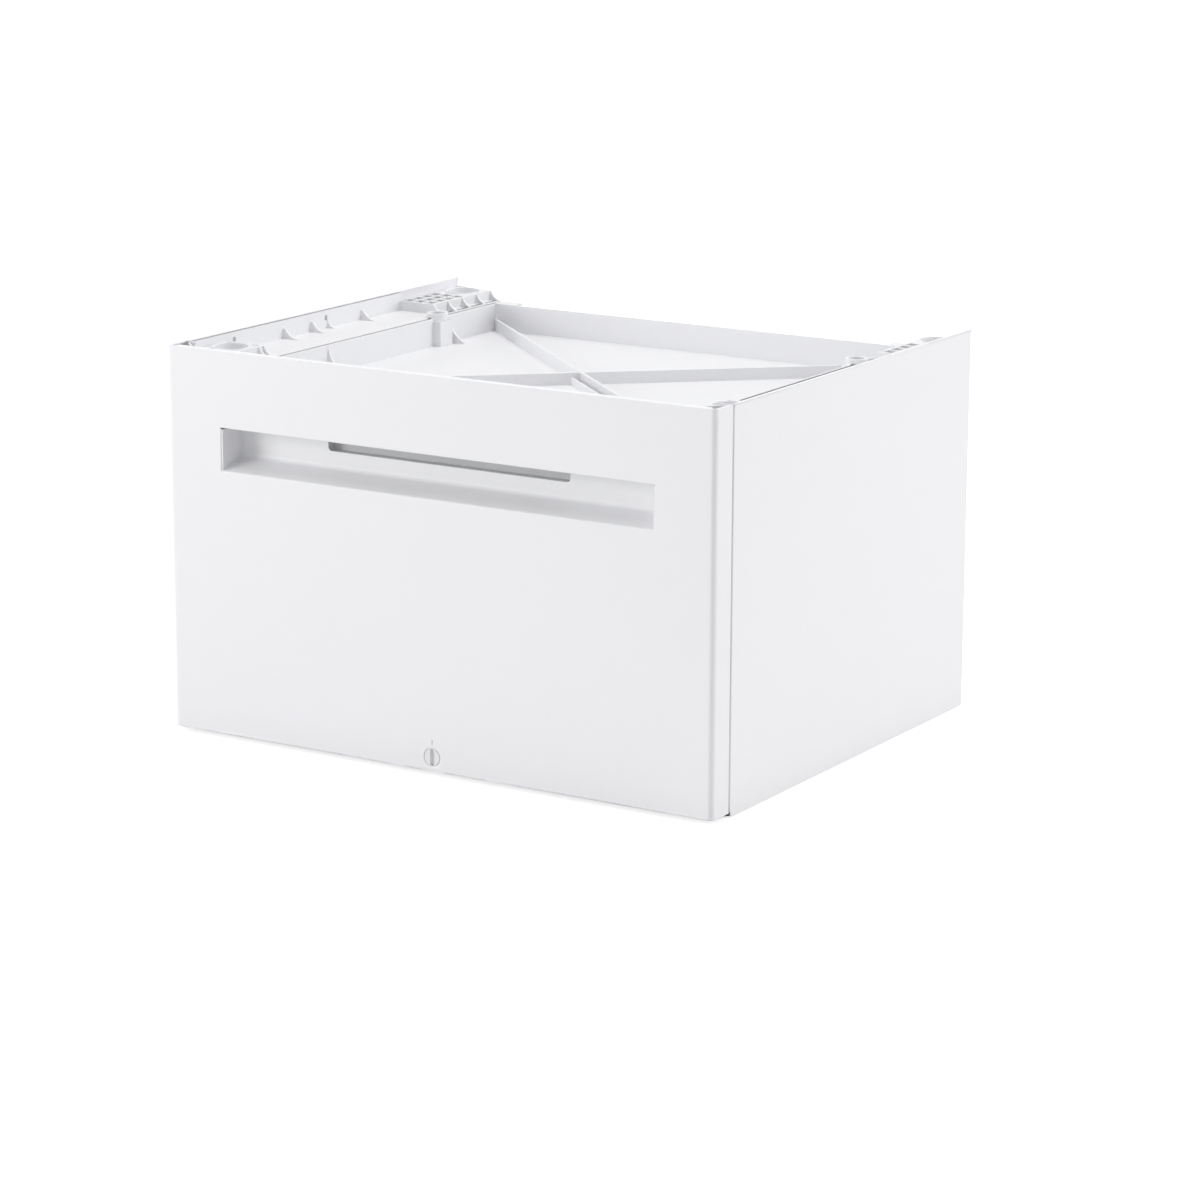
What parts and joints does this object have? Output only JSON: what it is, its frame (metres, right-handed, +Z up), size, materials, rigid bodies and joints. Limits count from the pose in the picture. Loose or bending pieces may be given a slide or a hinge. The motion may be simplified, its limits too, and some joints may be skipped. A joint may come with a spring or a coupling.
{
  "type": "laundry pedestal drawer",
  "caption": "Low white pedestal with a full-width drawer, a recessed handle and a turn lock, to stand under a laundry machine; ribbed tray and foot cups on top.",
  "frame": {"origin": "centre of the footprint, on the floor", "axes": "+X to the right as seen from the front, +Y to the rear, +Z up; the drawer front faces -Y"},
  "size_m": [0.598, 0.49, 0.376],
  "materials": {
    "white_enamel": "smooth satin-gloss white paint on thin steel sheet",
    "white_plastic": "fine matt moulded white plastic",
    "galvanised_sheet": "dull zinc-coated steel sheet with a faint spangle",
    "drawer_paint": "light grey paint on steel sheet",
    "slide_steel": "bright zinc-plated rolled steel, lightly greased",
    "zinc_fixings": "zinc-plated steel",
    "grey_plastic": "matt mid-grey moulded plastic",
    "black_rubber": "matt black rubber",
    "foot_rubber": "matt dark grey rubber"
  },
  "bodies": {
    "cabinet": {"left_side_panel": "white_enamel", "right_side_panel": "white_enamel", "back_panel": "galvanised_sheet", "left_base_rail": "galvanised_sheet", "right_base_rail": "galvanised_sheet", "front_base_crossbar": "galvanised_sheet", "rear_base_crossbar": "galvanised_sheet", "front_top_crossbar": "galvanised_sheet", "rear_top_crossbar": "galvanised_sheet", "front_left_post": "galvanised_sheet", "front_right_post": "galvanised_sheet", "rear_left_post": "galvanised_sheet", "rear_right_post": "galvanised_sheet", "left_top_rail": "white_plastic", "right_top_rail": "white_plastic", "top_tray": "white_plastic", "left_slide_outer": "slide_steel", "right_slide_outer": "slide_steel", "lock_striker": "slide_steel", "foot_nuts": "zinc_fixings", "back_panel_screws": "zinc_fixings", "slide_outer_screws": "zinc_fixings"},
    "drawer": {"drawer_front_skin": "white_enamel", "drawer_front_cap": "white_plastic", "drawer_front_liner": "white_plastic", "drawer_front_pan": "white_plastic", "pan_level_walls": "white_plastic", "pan_upright_walls": "white_plastic", "handle_recess": "white_plastic", "finger_pocket": "grey_plastic", "drawer_bottom": "drawer_paint", "drawer_left_side": "drawer_paint", "drawer_right_side": "drawer_paint", "drawer_box_front": "drawer_paint", "drawer_back": "drawer_paint", "left_slide_inner": "slide_steel", "right_slide_inner": "slide_steel", "lock_housing": "white_plastic", "drawer_front_screws": "zinc_fixings", "slide_inner_screws": "zinc_fixings", "drawer_bumpers": "black_rubber"},
    "left_middle_slide": {"left_slide_middle": "slide_steel"},
    "right_middle_slide": {"right_slide_middle": "slide_steel"},
    "left_outer_cage": {"left_outer_ball_cage": "slide_steel"},
    "left_inner_cage": {"left_inner_ball_cage": "slide_steel"},
    "right_outer_cage": {"right_outer_ball_cage": "slide_steel"},
    "right_inner_cage": {"right_inner_ball_cage": "slide_steel"},
    "lock": {"lock_plug": "white_plastic", "lock_cam": "slide_steel", "lock_cam_screw": "zinc_fixings", "lock_retaining_ring": "zinc_fixings"},
    "front_left_foot": {"front_left_foot_pad": "foot_rubber", "front_left_foot_stud": "zinc_fixings"},
    "front_right_foot": {"front_right_foot_pad": "foot_rubber", "front_right_foot_stud": "zinc_fixings"},
    "rear_left_foot": {"rear_left_foot_pad": "foot_rubber", "rear_left_foot_stud": "zinc_fixings"},
    "rear_right_foot": {"rear_right_foot_pad": "foot_rubber", "rear_right_foot_stud": "zinc_fixings"}
  },
  "joints": [
    {"name": "drawer_slide", "type": "slide", "parent": "cabinet", "child": "drawer", "axis": [0, -1, 0], "range_m": [0, 0.38]},
    {"name": "left_middle_slide_run", "type": "slide", "parent": "cabinet", "child": "left_middle_slide", "axis": [0, -1, 0], "range_m": [0, 0.19]},
    {"name": "left_outer_cage_run", "type": "slide", "parent": "cabinet", "child": "left_outer_cage", "axis": [0, -1, 0], "range_m": [0, 0.095]},
    {"name": "left_inner_cage_run", "type": "slide", "parent": "cabinet", "child": "left_inner_cage", "axis": [0, -1, 0], "range_m": [0, 0.285]},
    {"name": "right_middle_slide_run", "type": "slide", "parent": "cabinet", "child": "right_middle_slide", "axis": [0, -1, 0], "range_m": [0, 0.19]},
    {"name": "right_outer_cage_run", "type": "slide", "parent": "cabinet", "child": "right_outer_cage", "axis": [0, -1, 0], "range_m": [0, 0.095]},
    {"name": "right_inner_cage_run", "type": "slide", "parent": "cabinet", "child": "right_inner_cage", "axis": [0, -1, 0], "range_m": [0, 0.285]},
    {"name": "lock_turn", "type": "hinge", "parent": "drawer", "child": "lock", "pos_m": [0, -0.24, 0.0185], "axis": [0, 1, 0], "range_deg": [0, 90]},
    {"name": "front_left_foot_adjust", "type": "slide", "parent": "cabinet", "child": "front_left_foot", "axis": [0, 0, -1], "range_m": [0, 0.012]},
    {"name": "front_right_foot_adjust", "type": "slide", "parent": "cabinet", "child": "front_right_foot", "axis": [0, 0, -1], "range_m": [0, 0.012]},
    {"name": "rear_left_foot_adjust", "type": "slide", "parent": "cabinet", "child": "rear_left_foot", "axis": [0, 0, -1], "range_m": [0, 0.012]},
    {"name": "rear_right_foot_adjust", "type": "slide", "parent": "cabinet", "child": "rear_right_foot", "axis": [0, 0, -1], "range_m": [0, 0.012]}
  ],
  "couplings": [
    {"joint": "left_middle_slide_run", "follows": "drawer_slide", "ratio": 0.5},
    {"joint": "left_outer_cage_run", "follows": "drawer_slide", "ratio": 0.25},
    {"joint": "left_inner_cage_run", "follows": "drawer_slide", "ratio": 0.75},
    {"joint": "right_middle_slide_run", "follows": "drawer_slide", "ratio": 0.5},
    {"joint": "right_outer_cage_run", "follows": "drawer_slide", "ratio": 0.25},
    {"joint": "right_inner_cage_run", "follows": "drawer_slide", "ratio": 0.75}
  ]
}
